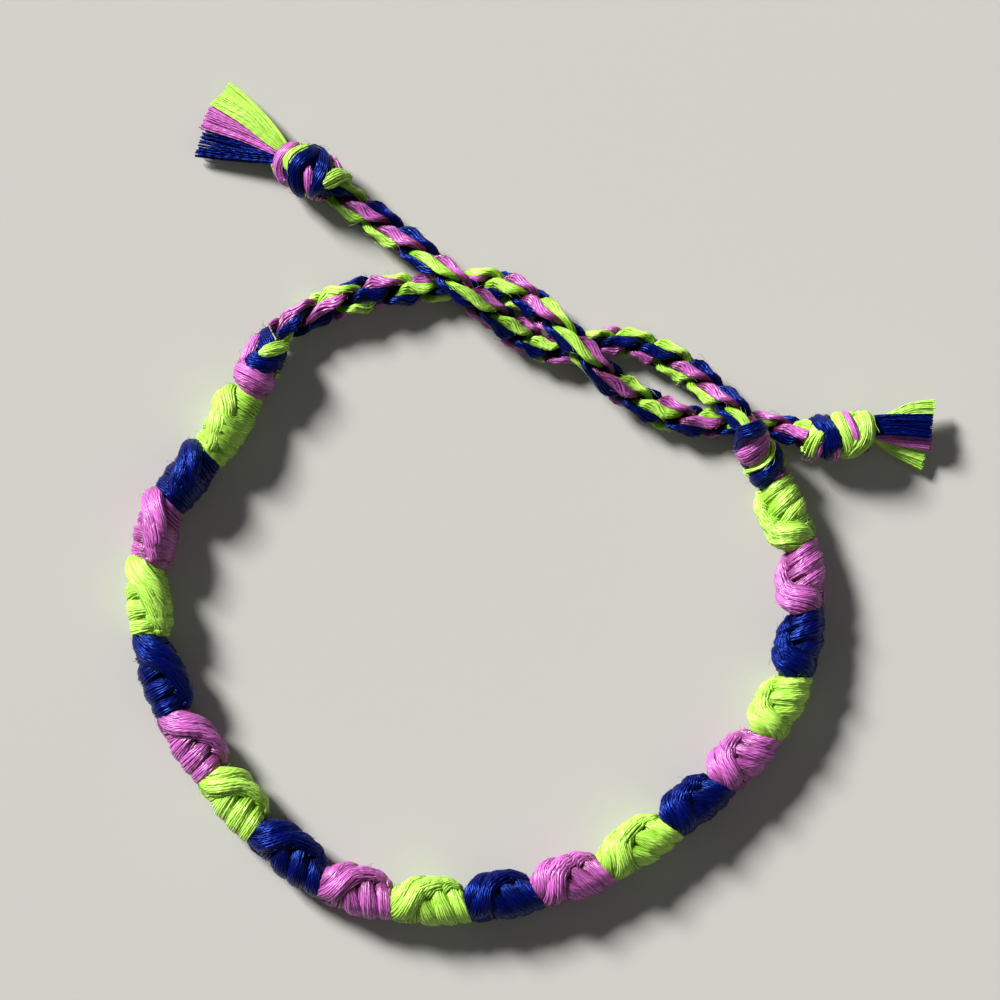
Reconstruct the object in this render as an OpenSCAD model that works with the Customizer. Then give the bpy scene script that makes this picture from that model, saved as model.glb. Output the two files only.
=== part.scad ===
// Friendship bracelet of knotted embroidery floss, lying on a table, in millimetres.
// A round band of nineteen knotted colour runs ends in a band knot on each side.
// From each band knot leaves a twisted tie of two plies, with an end knot and a cut tassel.
// The origin is under the middle of the whole bracelet, on the surface where it lies.

/* [Band] */
// Half the width of a run at its widest, without its ridge
run_half_width = 2.2; // [1.8:0.05:2.4]
// Half the height of a run at its widest
run_half_height = 2.2; // [1.8:0.05:2.4]
// How far the ridge of hitches stands out of a run
ridge_height = 0.6; // [0:0.05:0.7]
// Angle from one side of the ridge to the other, as a half angle
ridge_half_angle = 62; // [40:1:80]
// Angle of the ridge's crest at the start of a run: 0 is the outer side of the loop, 90 the top
ridge_start_angle = 40; // [0:5:90]
// How far the crest turns towards the inner side along a run
ridge_turn = 122; // [60:1:180]
// Share of a run by which the crest has turned
ridge_turned_by = 0.62; // [0.4:0.02:1]
// Gap between the end of one run and the start of the next
run_gap = 0.16; // [0.1:0.02:0.3]

/* [Ties] */
// Radius of a tie over both of its plies
tie_radius = 1.6; // [1.3:0.05:1.7]
// Gap between the two plies of a tie
ply_gap = 0.22; // [0.18:0.01:0.26]
// How far each of the three flosses of a ply stands out, as a share of the ply's size
floss_bulge = 0.07; // [0:0.01:0.1]

/* [Knots] */
// Largest radius of the knots at the two ends of the band
band_knot_radius = 2.35; // [2:0.05:2.5]
// Largest radius of the knots at the ends of the ties
end_knot_radius = 2.45; // [2:0.05:2.6]
// How far the wraps of a knot stand out
wrap_height = 0.3; // [0:0.05:0.4]

/* [Tassels] */
// Thickness of a tassel's lock of floss at its cut end
lock_thickness = 1.5; // [1:0.1:1.8]

/* [Hidden] */
colours = ["yellowgreen", "mediumblue", "orchid"];
colour_names = ["lime", "blue", "pink"];

// The band's centreline, at the joints between runs: x, y and the slant of the joint.
// A slant of 0.3 puts the inner side of the joint 0.3 mm earlier for each mm off the centreline.
joints = [
    [-28.2, 11.6, 0.1],
    [-32.1, 5.5, -0.2],
    [-36.0, 0.8, -0.3],
    [-38.0, -5.4, -0.3],
    [-37.8, -12.7, -0.2],
    [-35.5, -20.4, -0.1],
    [-31.7, -26.4, 0],
    [-27.2, -31.8, 0.1],
    [-20.8, -37.0, 0.2],
    [-13.9, -39.2, 0.1],
    [-6.4, -39.4, 0.2],
    [0.5, -38.2, 0.3],
    [7.3, -35.8, 0.3],
    [13.8, -31.6, 0.3],
    [18.8, -27.4, 0.3],
    [23.2, -22.7, 0.3],
    [26.2, -16.9, 0.3],
    [27.3, -10.4, 0.3],
    [26.8, -3.9, 0.3],
    [24.2, 2.5, 0.1],
];

// One run along its length: place from 0 to 1, share of the size, share of the ridge.
run_sections = [
    [0, 0.80, 0],
    [0.1, 0.92, 0.4],
    [0.25, 1.00, 0.9],
    [0.42, 1.02, 1],
    [0.58, 1.02, 1],
    [0.75, 1.00, 0.9],
    [0.9, 0.92, 0.4],
    [1, 0.80, 0],
];

// The ties' centrelines from the band knot outwards: x, y, z and the share of the full thickness.
left_route = [
    [-25.4, 17.3, 2.1, 0.92],
    [-23.0, 18.9, 1.7, 1],
    [-20.4, 20.2, 1.75, 1.1],
    [-17.8, 21.1, 1.8, 1.12],
    [-15.0, 21.6, 1.75, 1.1],
    [-12.0, 21.9, 1.5, 0.96],
    [-9.2, 22.1, 1.4, 0.88],
    [-6.4, 22.4, 1.4, 0.88],
    [-3.3, 22.4, 1.6, 1],
    [-0.5, 21.1, 2.4, 1],
    [2.0, 19.0, 3.6, 0.94],
    [4.7, 16.3, 4.35, 0.88],
    [7.1, 13.6, 3.5, 0.94],
    [9.8, 11.5, 2.1, 1],
    [12.8, 9.8, 1.65, 1.04],
    [15.8, 8.8, 1.55, 0.98],
    [18.8, 8.5, 1.35, 0.86],
    [21.5, 8.4, 1.3, 0.84],
    [24.2, 8.2, 1.4, 0.88],
    [27.3, 7.4, 2.2, 0.9],
];
right_route = [
    [21.9, 7.8, 4.55, 0.82],
    [20.6, 9.6, 4.3, 0.88],
    [18.4, 11.6, 2.9, 0.94],
    [16.0, 13.7, 1.8, 1],
    [13.0, 15.4, 1.6, 1],
    [10.2, 16.5, 1.5, 0.94],
    [7.6, 16.7, 1.4, 0.88],
    [4.8, 16.1, 1.4, 0.88],
    [2.0, 15.8, 1.45, 0.92],
    [-0.8, 17.2, 1.7, 1],
    [-3.5, 19.2, 2.9, 0.96],
    [-6.2, 21.4, 4.25, 0.88],
    [-8.9, 23.8, 4.0, 0.9],
    [-11.5, 25.9, 2.8, 0.96],
    [-14.0, 27.8, 1.8, 1],
    [-16.6, 29.7, 1.7, 1],
    [-19.3, 31.6, 2.2, 0.92],
];
// How the plies wind: length along the tie, and how often the plies have changed places there.
// At a whole number one ply lies right over the other.
left_lobes = [
    [0, -1.3],
    [6.0, 0],
    [10.6, 1],
    [15.0, 2],
    [19.5, 3],
    [24.2, 4],
    [28.5, 5],
    [33.9, 6],
    [39.8, 7],
    [44.6, 8],
    [60, 11.2],
];
right_lobes = [
    [0, -1.15],
    [4.8, 0],
    [8.9, 1],
    [12.9, 2],
    [16.5, 3],
    [20.7, 4],
    [24.9, 5],
    [28.7, 6],
    [33.6, 7],
    [38.4, 8],
    [43.3, 9],
    [47.9, 10],
    [52, 10.9],
];

// Knots: x, y, z and share of the largest radius, from the band or tie side to the far side.
left_band_knot_route = [
    [-28.1, 12.0, 2.3, 0.78],
    [-27.6, 13.2, 2.35, 0.98],
    [-26.7, 14.8, 2.35, 1],
    [-26.2, 16.0, 2.3, 0.9],
    [-25.9, 16.7, 2.2, 0.55],
];
right_band_knot_route = [
    [24.0, 2.9, 2.3, 0.74],
    [23.5, 4.0, 2.55, 0.98],
    [23.0, 5.1, 3.1, 0.94],
    [22.6, 6.1, 3.9, 0.78],
    [22.3, 6.9, 4.4, 0.54],
];
left_end_knot_route = [
    [27.6, 7.3, 2.25, 0.6],
    [28.6, 7.1, 2.45, 0.9],
    [30.6, 7.2, 2.45, 1],
    [32.6, 7.4, 2.45, 0.98],
    [34.1, 7.6, 2.3, 0.74],
];
right_end_knot_route = [
    [-19.5, 31.75, 2.25, 0.6],
    [-20.4, 32.4, 2.45, 0.9],
    [-22.0, 33.5, 2.5, 1.06],
    [-23.7, 34.6, 2.45, 1],
    [-24.8, 35.3, 2.3, 0.72],
];

// Tassel locks from the head to the cut: x, y, z and half the lock's width there.
left_tassel_locks = [
    [[34.8, 7.8, 2.5, 0.8], [37.2, 9.3, 2.3, 1.3], [40.2, 9.6, 2.2, 1.3]],
    [[34.7, 7.6, 2.3, 1.1], [37.2, 7.8, 2.1, 1.1], [40.0, 7.9, 2.0, 1.2]],
    [[34.8, 7.4, 1.9, 0.8], [37.0, 6.0, 1.1, 1.1], [39.4, 4.6, 0.8, 1.2]],
];
right_tassel_locks = [
    [[-25.3, 35.8, 2.4, 0.8], [-28.2, 38.8, 1.9, 1.5], [-31.2, 41.6, 1.3, 1.5]],
    [[-25.3, 35.6, 2.2, 1.1], [-28.8, 37.3, 1.6, 1.1], [-32.3, 39.1, 1.2, 1.2]],
    [[-25.3, 35.4, 1.9, 0.9], [-29.0, 36.0, 1.1, 1.4], [-32.9, 37.0, 0.9, 1.4]],
];

// Moves the routes, so that the origin is under the middle of the whole bracelet
to_middle = [0.05, -0.47, 0];

run_count = len(joints) - 1;
run_sides = 14;
band_height = 2.25;
ply_sides = 12;
ply_steps = 5;
knot_sides = 12;
knot_steps = 2;
lock_sides = 8;
up = [0, 0, 1];

// Radius from a tie's centre to the centre of each ply, and half the ply's thickness and width
ply_offset = (tie_radius + ply_gap / 2) / 2;
ply_half_thickness = (tie_radius - ply_gap / 2) / 2 / (1 + floss_bulge);
ply_half_width = 0.78 * tie_radius;

function run_number(i) = str(i < 9 ? "0" : "", i + 1);
function run_name(i) = str("run_", run_number(i), "_", colour_names[i % 3]);

// Smooth row of a table at place u, where whole numbers are the table's own rows
function row_at(table, u) =
    let (
        last = len(table) - 1,
        i = max(0, min(floor(u), last - 1)),
        f = u - i,
        b = table[i],
        c = table[i + 1],
        a = i > 0 ? table[i - 1] : 2 * b - c,
        d = i + 2 <= last ? table[i + 2] : 2 * c - b
    )
    (2 * b + (c - a) * f + (2 * a - 5 * b + 4 * c - d) * f * f + (3 * b - a - 3 * c + d) * f * f * f) / 2;

// Straight interpolation of a column in a table whose first column is the place
function column_at(table, t, column) = lookup(t, [for (row = table) [row[0], row[column]]]);

function unit(v) = v / norm(v);
function place(row) = [row[0], row[1], row[2]];
function heading(table, u) = unit(place(row_at(table, u + 0.02)) - place(row_at(table, u - 0.02)));
function leftward(direction) = unit(cross(up, direction));

// Nothing reaches below the surface: floss flattens where it lies
function rested(point) = [point[0], point[1], max(point[2], 0)];

// Length walked along a table's route up to each step
function walked(table, steps) = [
    for (
        k = 0, s = 0;
        k <= steps * (len(table) - 1);
        s = s + norm(place(row_at(table, (k + 1) / steps)) - place(row_at(table, k / steps))),
        k = k + 1
    ) s
];

// Closed solid through rings of points that run anticlockwise about the direction of travel
module loft(rings) {
    sides = len(rings[0]);
    last = len(rings) - 1;
    start_middle = [for (axis = [0 : 2]) mean([for (p = rings[0]) p[axis]])];
    end_middle = [for (axis = [0 : 2]) mean([for (p = rings[last]) p[axis]])];
    points = concat([for (ring = rings) each ring], [start_middle, end_middle]);
    walls = [
        for (i = [0 : last - 1], k = [0 : sides - 1])
            let (
                a = i * sides + k,
                d = i * sides + (k + 1) % sides
            )
            each [[a, a + sides, d + sides], [a, d + sides, d]]
    ];
    first_cap = [for (k = [0 : sides - 1]) [(last + 1) * sides, k, (k + 1) % sides]];
    last_cap = [
        for (k = [0 : sides - 1]) [(last + 1) * sides + 1, last * sides + (k + 1) % sides, last * sides + k]
    ];
    translate(to_middle)
        polyhedron(points, concat(walls, first_cap, last_cap), convexity = 6);
}

function mean(values) = values * [for (v = values) 1] / len(values);

// The band's centreline as rows of x, y, z and slant
band_route = [for (joint = joints) [joint[0], joint[1], band_height, joint[2]]];

// Size of the ridge at an angle about the run: it turns over the top and ends on the inner side
function ridge_at(t, angle) =
    let (
        crest = ridge_start_angle + ridge_turn * sin(90 * min(1, t / ridge_turned_by)),
        apart = abs((angle - crest + 540) % 360 - 180),
        share = apart < ridge_half_angle ? pow(cos(90 * apart / ridge_half_angle), 2) : 0
    )
    ridge_height * share;

// One ring of a run: the angle starts on the outer side of the loop and passes over the top
function run_ring(i, t) =
    let (
        length_of_run = norm(place(band_route[i + 1]) - place(band_route[i])),
        inset = run_gap / 2 / length_of_run,
        u = i + inset + (1 - 2 * inset) * t,
        row = row_at(band_route, u),
        along = heading(band_route, u),
        inner = leftward(along),
        size = column_at(run_sections, t, 1),
        ridge = column_at(run_sections, t, 2)
    )
    [
        for (k = [0 : run_sides - 1])
            let (
                angle = 180 - 360 * k / run_sides,
                bump = ridge * ridge_at(t, angle),
                x = -cos(angle) * (run_half_width * size + bump),
                z = sin(angle) * (run_half_height * size + bump)
            )
            rested(place(row) + x * inner + z * up - row[3] * x * along)
    ];

module run(i) {
    color(colours[i % 3])
        loft([for (section = run_sections) run_ring(i, section[0])]);
}

// One ring of a ply: its three flosses bulge, and turn against the twist of the tie
function ply_ring(table, u, wound, turn) =
    let (
        row = row_at(table, u),
        along = heading(table, u),
        left = leftward(along),
        top = cross(along, left),
        outward = turn - wound,
        centre = place(row) + row[3] * ply_offset * (cos(outward) * left + sin(outward) * top),
        first_floss = turn + wound
    )
    [
        for (k = [0 : ply_sides - 1])
            let (
                angle = first_floss + 360 * k / ply_sides,
                from_outward = angle - outward,
                thin = cos(from_outward) / ply_half_thickness,
                wide = sin(from_outward) / ply_half_width,
                reach = row[3] * (1 + floss_bulge * cos(3 * 360 * k / ply_sides)) / sqrt(thin * thin + wide * wide)
            )
            rested(centre + reach * (cos(angle) * left + sin(angle) * top))
    ];

// The turn of a ply is 90 where it lies over the other one at lobe 0
module tie_ply(table, lobes, turn) {
    lengths = walked(table, ply_steps);
    loft([
        for (k = [0 : len(lengths) - 1])
            ply_ring(table, k / ply_steps, 180 * lookup(lengths[k], lobes), turn)
    ]);
}

// A knot: a round body whose wraps wind round it at a slant
module knot(table, radius, turns) {
    last = len(table) - 1;
    loft([
        for (k = [0 : knot_steps * last])
            let (
                u = k / knot_steps,
                row = row_at(table, u),
                along = heading(table, u),
                left = leftward(along),
                top = cross(along, left),
                swell = wrap_height * sin(180 * u / last)
            )
            [
                for (side = [0 : knot_sides - 1])
                    let (
                        angle = 360 * side / knot_sides,
                        reach = radius * row[3] + swell * cos(angle - 360 * turns * u / last)
                    )
                    rested(place(row) + reach * (cos(angle) * left + sin(angle) * top))
            ]
    ]);
}

// A lock of floss: round at the head, wide and flatter at the cut
module lock(table) {
    last = len(table) - 1;
    steps = 3;
    loft([
        for (k = [0 : steps * last])
            let (
                u = k / steps,
                row = row_at(table, u),
                along = heading(table, u),
                left = leftward(along),
                top = cross(along, left),
                half_thickness = lock_thickness / 2
            )
            [
                for (side = [0 : lock_sides - 1])
                    let (angle = 360 * side / lock_sides)
                    rested(place(row) + row[3] * cos(angle) * left + half_thickness * sin(angle) * top)
            ]
    ]);
}

module tassel(locks) {
    union() {
        for (table = locks)
            lock(table);
    }
}

module left_band_knot() {
    color("orchid") knot(left_band_knot_route, band_knot_radius, 1.5);
}

module right_band_knot() {
    color("mediumblue") knot(right_band_knot_route, band_knot_radius, 1.5);
}

module left_tie_ply_a() {
    color("mediumblue") tie_ply(left_route, left_lobes, 90);
}

module left_tie_ply_b() {
    color("orchid") tie_ply(left_route, left_lobes, 270);
}

module right_tie_ply_a() {
    color("yellowgreen") tie_ply(right_route, right_lobes, 90);
}

module right_tie_ply_b() {
    color("mediumblue") tie_ply(right_route, right_lobes, 270);
}

module left_tie_end_knot() {
    color("yellowgreen") knot(left_end_knot_route, end_knot_radius, 2.5);
}

module right_tie_end_knot() {
    color("mediumblue") knot(right_end_knot_route, end_knot_radius, 1.5);
}

module left_tie_tassel() {
    color("yellowgreen") tassel(left_tassel_locks);
}

module right_tie_tassel() {
    color("yellowgreen") tassel(right_tassel_locks);
}

for (i = [0 : run_count - 1])
    run(i);
left_band_knot();
right_band_knot();
left_tie_ply_a();
left_tie_ply_b();
right_tie_ply_a();
right_tie_ply_b();
left_tie_end_knot();
right_tie_end_knot();
left_tie_tassel();
right_tie_tassel();
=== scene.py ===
import math

import bpy
import numpy as np
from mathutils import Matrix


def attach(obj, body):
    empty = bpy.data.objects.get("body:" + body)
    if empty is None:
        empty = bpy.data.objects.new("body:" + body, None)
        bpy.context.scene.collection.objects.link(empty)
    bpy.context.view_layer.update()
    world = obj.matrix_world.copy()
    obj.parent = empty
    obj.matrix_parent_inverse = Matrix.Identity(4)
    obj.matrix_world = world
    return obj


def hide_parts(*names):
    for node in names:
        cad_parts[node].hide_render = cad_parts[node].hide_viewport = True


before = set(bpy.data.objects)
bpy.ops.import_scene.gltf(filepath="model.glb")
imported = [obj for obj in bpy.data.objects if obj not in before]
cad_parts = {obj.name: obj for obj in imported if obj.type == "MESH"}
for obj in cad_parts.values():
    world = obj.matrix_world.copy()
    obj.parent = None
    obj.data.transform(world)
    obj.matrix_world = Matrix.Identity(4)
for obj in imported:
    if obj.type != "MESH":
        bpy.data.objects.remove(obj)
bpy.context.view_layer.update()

# Looks of the friendship bracelet. The tables of its pieces are in millimetres and degrees, and METRE turns
# millimetres into the frame's unit. The room and the look of a thread are in metres.
METRE = 0.001

LIME, BLUE, PINK = "lime", "blue", "pink"
COLOURS = [LIME, BLUE, PINK]

# Each kind of piece counts its random seeds from its own number
RUN_SEED = 100
PLY_SEED = 31
KNOT_SEED = 41
TASSEL_SEED = 51

# Moves every route, so that the origin is under the middle of the whole bracelet
TO_MIDDLE = np.array([0.05, -0.47, 0.0])
UP = np.array([0.0, 0.0, 1.0])

# The band's centreline at the joints between runs: x, y and the slant of the joint
BAND_HEIGHT = 2.25
JOINTS = [
    (-28.2, 11.6, 0.1), (-32.1, 5.5, -0.2), (-36.0, 0.8, -0.3), (-38.0, -5.4, -0.3), (-37.8, -12.7, -0.2),
    (-35.5, -20.4, -0.1), (-31.7, -26.4, 0), (-27.2, -31.8, 0.1), (-20.8, -37.0, 0.2), (-13.9, -39.2, 0.1),
    (-6.4, -39.4, 0.2), (0.5, -38.2, 0.3), (7.3, -35.8, 0.3), (13.8, -31.6, 0.3), (18.8, -27.4, 0.3),
    (23.2, -22.7, 0.3), (26.2, -16.9, 0.3), (27.3, -10.4, 0.3), (26.8, -3.9, 0.3), (24.2, 2.5, 0.1),
]
BAND_ROUTE = [(x, y, BAND_HEIGHT, slant) for x, y, slant in JOINTS]

# The ties from the band knot outwards: x, y, z and share of the full thickness
LEFT_ROUTE = [
    (-25.4, 17.3, 2.1, 0.85), (-23.0, 18.9, 1.7, 0.93), (-20.4, 20.2, 1.75, 1.05), (-17.8, 21.1, 1.8, 1.12),
    (-15.0, 21.6, 1.75, 1.1), (-12.0, 21.9, 1.5, 0.96), (-9.2, 22.1, 1.4, 0.88), (-6.4, 22.4, 1.4, 0.88),
    (-3.3, 22.4, 1.6, 1), (-0.5, 21.1, 2.4, 1), (2.0, 19.0, 3.6, 0.94), (4.7, 16.3, 4.35, 0.88),
    (7.1, 13.6, 3.5, 0.94), (9.8, 11.5, 2.1, 1), (12.8, 9.8, 1.65, 1.04), (15.8, 8.8, 1.55, 0.98),
    (18.8, 8.5, 1.35, 0.86), (21.5, 8.4, 1.3, 0.84), (24.2, 8.2, 1.4, 0.88), (27.3, 7.4, 2.2, 0.9),
]
RIGHT_ROUTE = [
    (21.9, 7.8, 4.55, 0.82), (20.6, 9.6, 4.3, 0.88), (18.4, 11.6, 2.9, 0.94), (16.0, 13.7, 1.8, 1),
    (13.0, 15.4, 1.6, 1), (10.2, 16.5, 1.5, 0.94), (7.6, 16.7, 1.4, 0.88), (4.8, 16.1, 1.4, 0.88),
    (2.0, 15.8, 1.45, 0.92), (-0.8, 17.2, 1.7, 1), (-3.5, 19.2, 2.9, 0.96), (-6.2, 21.4, 4.25, 0.88),
    (-8.9, 23.8, 4.0, 0.9), (-11.5, 25.9, 2.8, 0.96), (-14.0, 27.8, 1.8, 1), (-16.6, 29.7, 1.7, 1),
    (-19.3, 31.6, 2.2, 0.92),
]

# The knots: x, y, z and radius along each
LEFT_BAND_KNOT = [
    (-28.1, 12.0, 2.3, 1.85), (-27.6, 13.2, 2.35, 2.3), (-26.7, 14.8, 2.35, 2.35), (-26.2, 16.0, 2.3, 2.1),
    (-25.9, 16.7, 2.2, 1.3),
]
RIGHT_BAND_KNOT = [
    (24.0, 2.9, 2.3, 1.75), (23.5, 4.0, 2.55, 2.3), (23.0, 5.1, 3.1, 2.2), (22.6, 6.1, 3.9, 1.85),
    (22.3, 6.9, 4.4, 1.3),
]
LEFT_END_KNOT = [
    (27.6, 7.3, 2.25, 1.5), (28.6, 7.1, 2.45, 2.2), (30.6, 7.2, 2.45, 2.45), (32.6, 7.4, 2.45, 2.4),
    (34.1, 7.6, 2.3, 1.8),
]
RIGHT_END_KNOT = [
    (-19.5, 31.75, 2.25, 1.5), (-20.4, 32.4, 2.45, 2.2), (-22.0, 33.5, 2.5, 2.6), (-23.7, 34.6, 2.45, 2.45),
    (-24.8, 35.3, 2.3, 1.75),
]

# A drawn thread is a bundle of the real fine ones. The filling is the thicker hidden thread under a strand.
THREAD_RADIUS = 0.15
THREAD_RADIUS_SPREAD = (0.9, 1.1)
THREAD_STEP = 0.48
THREAD_SIDES = 5
FILLING_RADIUS = 0.24
FILLING_STEP = 0.9
# A thread comes no nearer to the surface than this share of its radius
LOWEST_SHARE = 0.9

# How deep in painted shade the threads of a core lie, and how much painted shade darkens those at the edges
# of a strand
PAINTED_CORE_SHADE = 1.0
EDGE_SHADE = 0.6

# Rows of threads in a flat strand: half width, height and crown, as shares of the strand's own size
TOP_ROW = (1, 1, 1.6)
LOW_ROW = (0.8, -0.9, 0.5)
FILLING_ROW = (0.62, -0.75, 0.4)
FILLING_SPACING = 0.22
FEWEST_FILLING = 2

# How threads wander in a strand: length and size of the waves sideways and outwards
SIDE_WANDER = (2.5, 0.035)
OUT_WANDER = (2.0, 0.024)
FEWEST_POINTS = 6
SAMPLES_PER_STATION = 12
# Nearer to the axis than this, a step sideways turns a thread no further
LEAST_REACH = 0.5

# How finely a route is measured, and how far to both sides of a place its direction is taken
AXIS_SAMPLES = 400
SLOPE_STEP = 0.02
# Keeps a division by the length of a step safe
TINY = 1e-9


def rows_at(table, u):
    """Rows on a smooth curve through the rows of a table, at places u. Whole numbers are the table's own."""
    table = np.asarray(table, float)
    u = np.asarray(u, float)
    last = len(table) - 1
    i = np.clip(np.floor(u).astype(int), 0, last - 1)
    share = (u - i)[:, None]
    padded = np.vstack([2 * table[0] - table[1], table, 2 * table[last] - table[last - 1]])
    before, start, end, after = padded[i], padded[i + 1], padded[i + 2], padded[i + 3]
    slope = end - before
    bend = 2 * before - 5 * start + 4 * end - after
    turn = 3 * start - before - 3 * end + after
    return (2 * start + slope * share + bend * share**2 + turn * share**3) / 2


def unit(vectors):
    return vectors / np.linalg.norm(vectors, axis=-1, keepdims=True)


class Axis:
    """A stretch of a route, measured in millimetres from its first end."""

    def __init__(self, table, first=0, last=None):
        self.table = table
        self.u = np.linspace(first, len(table) - 1 if last is None else last, AXIS_SAMPLES)
        places = rows_at(table, self.u)[:, :3]
        self.s = np.concatenate([[0], np.cumsum(np.linalg.norm(np.diff(places, axis=0), axis=1))])
        self.length = self.s[-1]

    def frame(self, s):
        """Row, direction, left and top at each place s. Past the ends the route runs on straight."""
        inside = np.clip(s, 0, self.length)
        u = np.interp(inside, self.s, self.u)
        row = rows_at(self.table, u)
        ahead = rows_at(self.table, u + SLOPE_STEP)[:, :3]
        behind = rows_at(self.table, u - SLOPE_STEP)[:, :3]
        along = unit(ahead - behind)
        left = unit(np.cross(UP, along))
        top = np.cross(along, left)
        row[:, :3] += (s - inside)[:, None] * along
        return row, along, left, top

    def around(self, s, angle, reach, slanted=False):
        """Points at an angle round the axis: 0 is right of it, 90 on top and 180 left of it."""
        row, along, left, top = self.frame(s)
        turned = np.radians(angle)
        x = -np.cos(turned) * reach
        z = np.sin(turned) * reach
        points = row[:, :3] + x[:, None] * left + z[:, None] * top
        if slanted:
            points -= (row[:, 3] * x)[:, None] * along
        return points


def wander(rng, s, spacing, size):
    """A smooth random wave along s, whose bumps are about spacing long."""
    span = (s - s.min()) / spacing
    heights = rng.normal(0, size, (int(span.max()) + 3, 1))
    return rows_at(heights, span)[:, 0]


class Threads:
    """Threads of a piece by colour: points, with a radius and a depth of painted shade (0 to 1) at each."""

    def __init__(self, seed):
        self.rng = np.random.default_rng(seed)
        self.lines = {colour: [] for colour in COLOURS}
        self.fibres = {colour: [] for colour in COLOURS}

    def add(self, colour, points, radius, painted_shade=0.0, fibre=False):
        radius = np.broadcast_to(np.asarray(radius, float), len(points))
        painted_shade = np.broadcast_to(np.asarray(painted_shade, float), len(points))
        lifted = points + TO_MIDDLE
        lifted[:, 2] = np.maximum(lifted[:, 2], radius * LOWEST_SHARE)
        kept = self.fibres if fibre else self.lines
        kept[colour].append((lifted * METRE, radius * METRE, painted_shade))


def row_of(count, shape):
    """Places of a row's threads across a flat strand and outwards. The middle of the row stands out most."""
    half_width, height, crown = shape
    return [(x, height - crown * x * x) for x in np.linspace(-half_width, half_width, count)]


def filling(half_width):
    """Places of the thick hidden threads that fill a strand."""
    return row_of(max(FEWEST_FILLING, round(half_width / FILLING_SPACING)), FILLING_ROW)


def lay_strand(threads, colour, axis, stations, layout, radius=THREAD_RADIUS, step=THREAD_STEP, bulge=None):
    """A flat strand of threads round an axis.

    Each station holds place, angle, reach, half width, half depth and painted shade.
    A bulge is the shape of a run: its threads stay between its slanted joints.
    """
    rng = threads.rng
    last = len(stations) - 1
    rough = rows_at(stations, np.linspace(0, last, SAMPLES_PER_STATION * len(stations)))
    arc = np.radians(rough[:, 1]) * rough[:, 2].mean()
    walked = np.concatenate([[0], np.cumsum(np.hypot(np.diff(arc), np.diff(rough[:, 0])))])
    walk = np.linspace(0, walked[-1], max(FEWEST_POINTS, int(walked[-1] / step)))
    u = np.interp(walk, walked, np.linspace(0, last, len(walked)))
    s, angle, reach, half_width, half_depth, shade = rows_at(stations, u).T
    round_axis = np.gradient(np.radians(angle) * reach.mean())
    down_axis = np.gradient(s)
    size = np.hypot(round_axis, down_axis) + TINY
    across_arc, across_s = -down_axis / size, round_axis / size
    for x, level in layout:
        side = half_width * x + wander(rng, walk, *SIDE_WANDER)
        out = half_depth * level + wander(rng, walk, *OUT_WANDER)
        thread_s = s + across_s * side
        thread_angle = angle + np.degrees(across_arc * side / np.maximum(reach, LEAST_REACH))
        if bulge:
            thread_s = np.clip(thread_s, JOINT_MARGIN, axis.length - JOINT_MARGIN)
            out = out + bulge(thread_s, thread_angle)
        points = axis.around(thread_s, thread_angle, reach + out, slanted=bulge is not None)
        # Painted shade: each station's own, plus more on the threads towards the strand's edges
        threads.add(colour, points, radius * rng.uniform(*THREAD_RADIUS_SPREAD), shade + EDGE_SHADE * x**4)


# Loose fibres: how many a piece has, and the range of each one's size
RUN_FIBRES = 130
TIE_FIBRES = 420
KNOT_FIBRES = 110
FIBRE_RADIUS = 0.014
FIBRE_RADIUS_SPREAD = (0.7, 1.2)
FIBRE_LENGTH = (0.5, 1.5)
FIBRE_LIFT = (0.03, 0.32)
FIBRE_DRIFT = 0.3
# A fibre rises and falls along this part of a wave, in radians
FIBRE_ARC = 2.2
FIBRE_POINTS = 6
FIBRE_SIDES = 3
# Where a fibre starts, as a share of the thread's radius
FIBRE_ROOT = 0.6
# Places along the middle of a piece, from which its fibres point away
MIDDLE_POINTS = 60


def fuzz(threads, axis, count):
    """Single fibres that stand out of the floss here and there."""
    rng = threads.rng
    laid = [(colour, line) for colour, lines in threads.lines.items() for line in lines]
    middle = (axis.frame(np.linspace(0, axis.length, MIDDLE_POINTS))[0][:, :3] + TO_MIDDLE) * METRE
    u = np.linspace(0, 1, FIBRE_POINTS)[:, None]
    for chosen in rng.integers(1, len(laid), count):
        colour, (points, radius, painted_shade) = laid[chosen]
        at = rng.integers(1, len(points) - 1)
        nearest = middle[np.argmin(np.linalg.norm(middle - points[at], axis=1))]
        out = unit(points[at] - nearest)
        along = unit(points[at + 1] - points[at - 1]) * rng.choice([-1, 1])
        side = np.cross(out, along)
        length = rng.uniform(*FIBRE_LENGTH)
        lift = rng.uniform(*FIBRE_LIFT)
        drift = rng.normal(0, FIBRE_DRIFT)
        path = u * length * along + np.sin(FIBRE_ARC * u) * lift * out + u**2 * drift * side
        line = points[at] / METRE - TO_MIDDLE + FIBRE_ROOT * THREAD_RADIUS * out + path
        threads.add(colour, line, FIBRE_RADIUS * rng.uniform(*FIBRE_RADIUS_SPREAD), fibre=True)


# The form of a run. Its threads stop a little before its joints.
RUN_RADIUS = 2.2
JOINT_MARGIN = 0.06
# How full a run is along its length: share of the length and share of the radius
RUN_FULLNESS = [
    (0, 0.80), (0.1, 0.93), (0.25, 1.0), (0.42, 1.02), (0.58, 1.02), (0.75, 1.0), (0.9, 0.93), (1, 0.80),
]
# On the side of its ridges a run is thinner at its ends and thicker in its middle
NECK_DEPTH = 0.5
NECK_LENGTH = 0.9
SWELL = 0.16

# The hidden core of a run, with its share of the radius at shares of the length
RUN_CORE_RADIUS = 1.5
RUN_CORE_MARGIN = 0.3
RUN_CORE_POINTS = 16
RUN_CORE_TAPER = [(0, 0.8), (0.15, 1), (0.85, 1), (1, 0.8)]

# How far the ridges are turned about each run of the left end towards the outer side, and about the others
RIDGE_LEANS = [-84, -74, -64, -42, -12, 2]
OTHER_LEANS = (-8, 8)

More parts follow.
